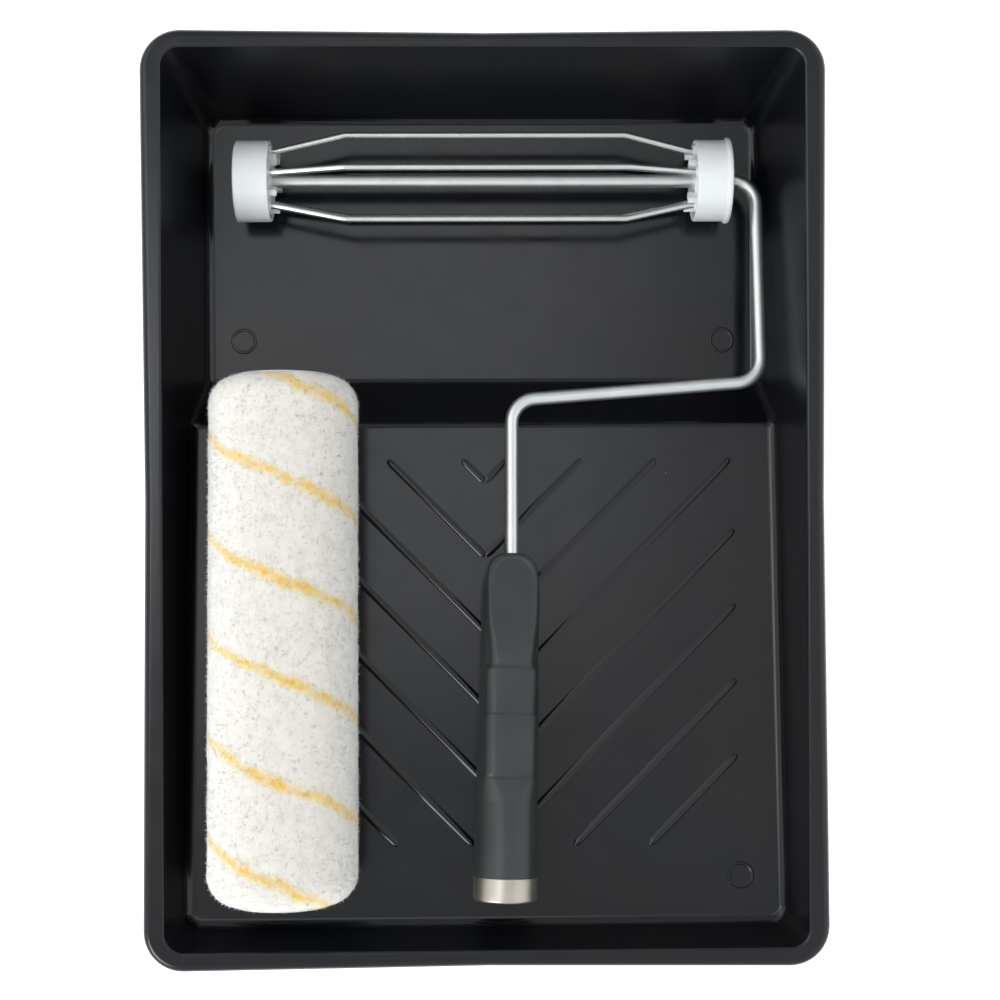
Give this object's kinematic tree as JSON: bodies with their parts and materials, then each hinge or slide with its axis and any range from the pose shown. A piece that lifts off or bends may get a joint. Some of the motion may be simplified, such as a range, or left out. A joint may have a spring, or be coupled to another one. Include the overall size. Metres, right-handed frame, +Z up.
{
  "type": "paint roller tray set",
  "caption": "Sloped plastic paint tray holding a wire-cage roller frame and a loose striped pile sleeve.",
  "frame": {"origin": "on the surface the tray stands on, under the middle of its rim's rectangle", "axes": "+X across the tray, towards the cranked side of the roller frame; +Y towards the deep well; +Z up"},
  "size_m": [0.2922, 0.3996, 0.1046],
  "materials": {
    "tray_plastic": "moulded black polypropylene, semi-gloss",
    "chrome_rod": "bright chrome plate",
    "chrome_wire": "bright zinc plated spring wire",
    "spring_steel": "plain spring steel",
    "grip_plastic": "satin charcoal polypropylene",
    "cap_plastic": "milky natural nylon",
    "hub_plastic": "milky natural nylon",
    "sleeve_core": "white extruded polypropylene",
    "pile_fabric": "knitted acrylic pile with a yellow stripe"
  },
  "bodies": {
    "tray_body": {"tray": "tray_plastic"},
    "roller_frame": {"frame_rod": "chrome_rod", "left_push_nut": "spring_steel", "left_washer": "spring_steel", "right_washer": "spring_steel", "handle_grip": "grip_plastic", "handle_ferrule": "chrome_rod"},
    "cage": {"left_end_cap": "cap_plastic", "right_end_cap": "cap_plastic", "left_hub": "hub_plastic", "right_hub": "hub_plastic", "cage_wire_1": "chrome_wire", "cage_wire_2": "chrome_wire", "cage_wire_3": "chrome_wire", "cage_wire_4": "chrome_wire", "cage_wire_5": "chrome_wire"},
    "sleeve": {"sleeve_core": "sleeve_core", "sleeve_pile": "pile_fabric"}
  },
  "joints": [
    {"name": "frame_lift", "type": "slide", "parent": "tray_body", "child": "roller_frame", "axis": [0, 0, 1], "range_m": [0, 0.12]},
    {"name": "cage_spin", "type": "hinge", "parent": "roller_frame", "child": "cage", "pos_m": [0, 0.1433, 0.0241], "axis": [1, 0, 0], "continuous": true},
    {"name": "sleeve_lift", "type": "slide", "parent": "tray_body", "child": "sleeve", "axis": [0, 0, 1], "range_m": [0, 0.12]}
  ]
}
